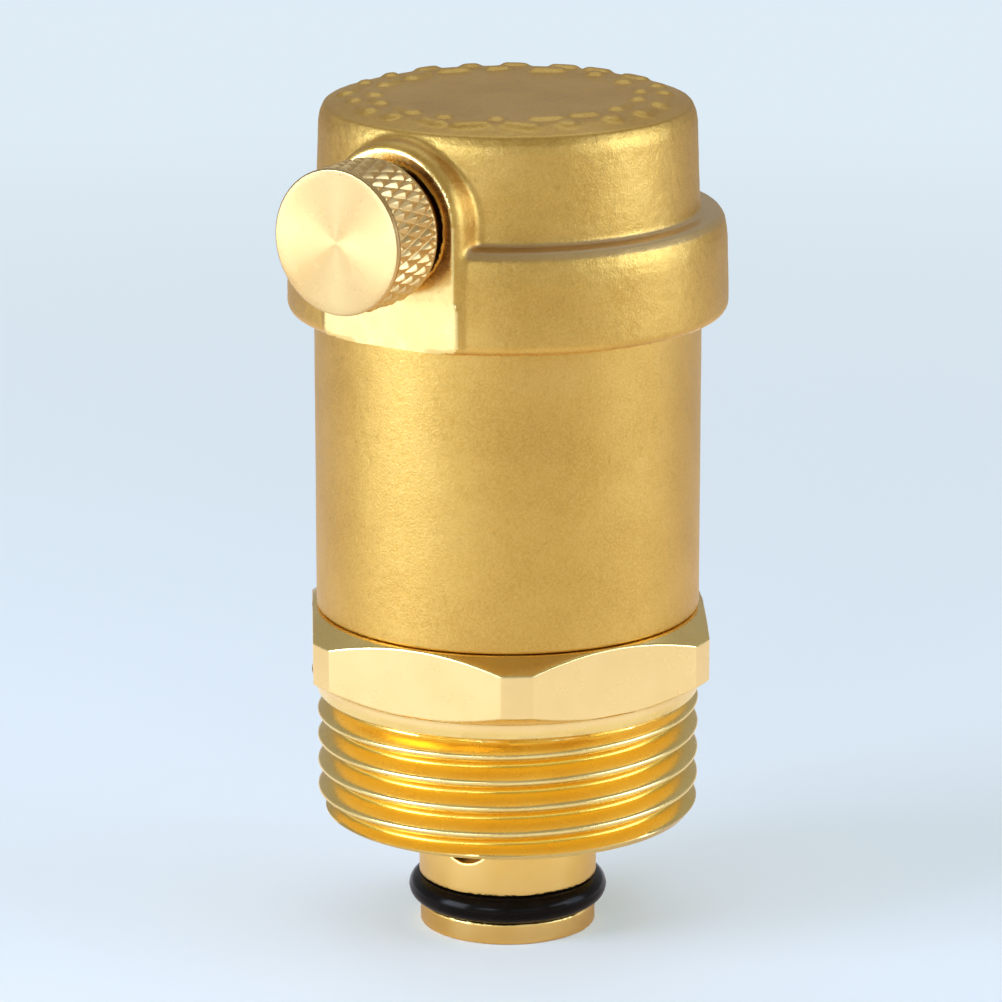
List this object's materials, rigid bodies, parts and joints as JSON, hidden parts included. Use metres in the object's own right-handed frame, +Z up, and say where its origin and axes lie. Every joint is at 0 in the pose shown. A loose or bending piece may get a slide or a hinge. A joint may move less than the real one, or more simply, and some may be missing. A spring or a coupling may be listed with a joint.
{
  "type": "automatic air vent",
  "caption": "Brass float-type automatic air vent with knurled side vent cap and spring-loaded shut-off base with a G 1 male thread.",
  "frame": {"origin": "centre of the shut-off plunger's flat lower end, on the main axis, with the valve open", "axes": "+Z up along the main axis towards the cap, -Y along the side outlet towards the knurled vent cap, +X to the right seen from the outlet side"},
  "size_m": [0.0378, 0.0446, 0.0738],
  "materials": {
    "turned_brass": "bright turned",
    "blasted_brass": "sand-blasted forging",
    "rubber_seal": "smooth moulded",
    "spring_steel": "bright drawn",
    "lever_plastic": "moulded",
    "float_plastic": "moulded"
  },
  "bodies": {
    "base": {"valve_base": "turned_brass", "plunger_spring": "spring_steel"},
    "plunger": {"shutoff_plunger": "turned_brass", "plunger_o_ring": "rubber_seal"},
    "head_carrier": {"head_seal": "rubber_seal"},
    "vent_head": {"float_chamber": "blasted_brass", "cap_gasket": "rubber_seal", "cap": "blasted_brass", "outlet_nozzle": "turned_brass", "nozzle_seal": "rubber_seal", "lever_bracket": "spring_steel", "bracket_screw": "spring_steel", "pivot_pin": "spring_steel", "pin_clip": "spring_steel", "lever_spring": "spring_steel"},
    "lever_arm": {"lever": "lever_plastic", "valve_pad": "rubber_seal"},
    "float_unit": {"float": "float_plastic", "float_hook": "spring_steel"},
    "vent_cap_carrier": {"vent_cap_washer": "rubber_seal"},
    "vent_cap_knob": {"vent_cap": "turned_brass"}
  },
  "joints": [
    {"name": "head_lift", "type": "slide", "parent": "base", "child": "head_carrier", "axis": [0, 0, 1], "range_m": [0, 0.00726]},
    {"name": "head_unscrew", "type": "hinge", "parent": "head_carrier", "child": "vent_head", "pos_m": [0, 0, 0.029], "axis": [0, 0, 1], "range_deg": [0, 1440]},
    {"name": "plunger_lift", "type": "slide", "parent": "base", "child": "plunger", "axis": [0, 0, 1], "range_m": [0, 0.00726], "deforming": ["plunger_spring"]},
    {"name": "float_rise", "type": "slide", "parent": "vent_head", "child": "float_unit", "axis": [0, 0, 1], "range_m": [0, 0.003]},
    {"name": "lever_swing", "type": "hinge", "parent": "vent_head", "child": "lever_arm", "pos_m": [0, -0.0095, 0.0636], "axis": [1, 0, 0], "range_deg": [0, 18.5]},
    {"name": "vent_cap_travel", "type": "slide", "parent": "vent_head", "child": "vent_cap_carrier", "axis": [0, -1, 0], "range_m": [0, 0.00226]},
    {"name": "vent_cap_unscrew", "type": "hinge", "parent": "vent_cap_carrier", "child": "vent_cap_knob", "pos_m": [0, -0.02275, 0.0656], "axis": [0, -1, 0], "range_deg": [0, 1080]}
  ],
  "couplings": [
    {"joint": "head_lift", "follows": "head_unscrew", "m_per_rad": 0.00028871},
    {"joint": "plunger_lift", "follows": "head_unscrew", "m_per_rad": 0.00028871},
    {"joint": "lever_swing", "follows": "float_rise", "rad_per_m": 107.22},
    {"joint": "vent_cap_travel", "follows": "vent_cap_unscrew", "m_per_rad": 0.00011937}
  ]
}
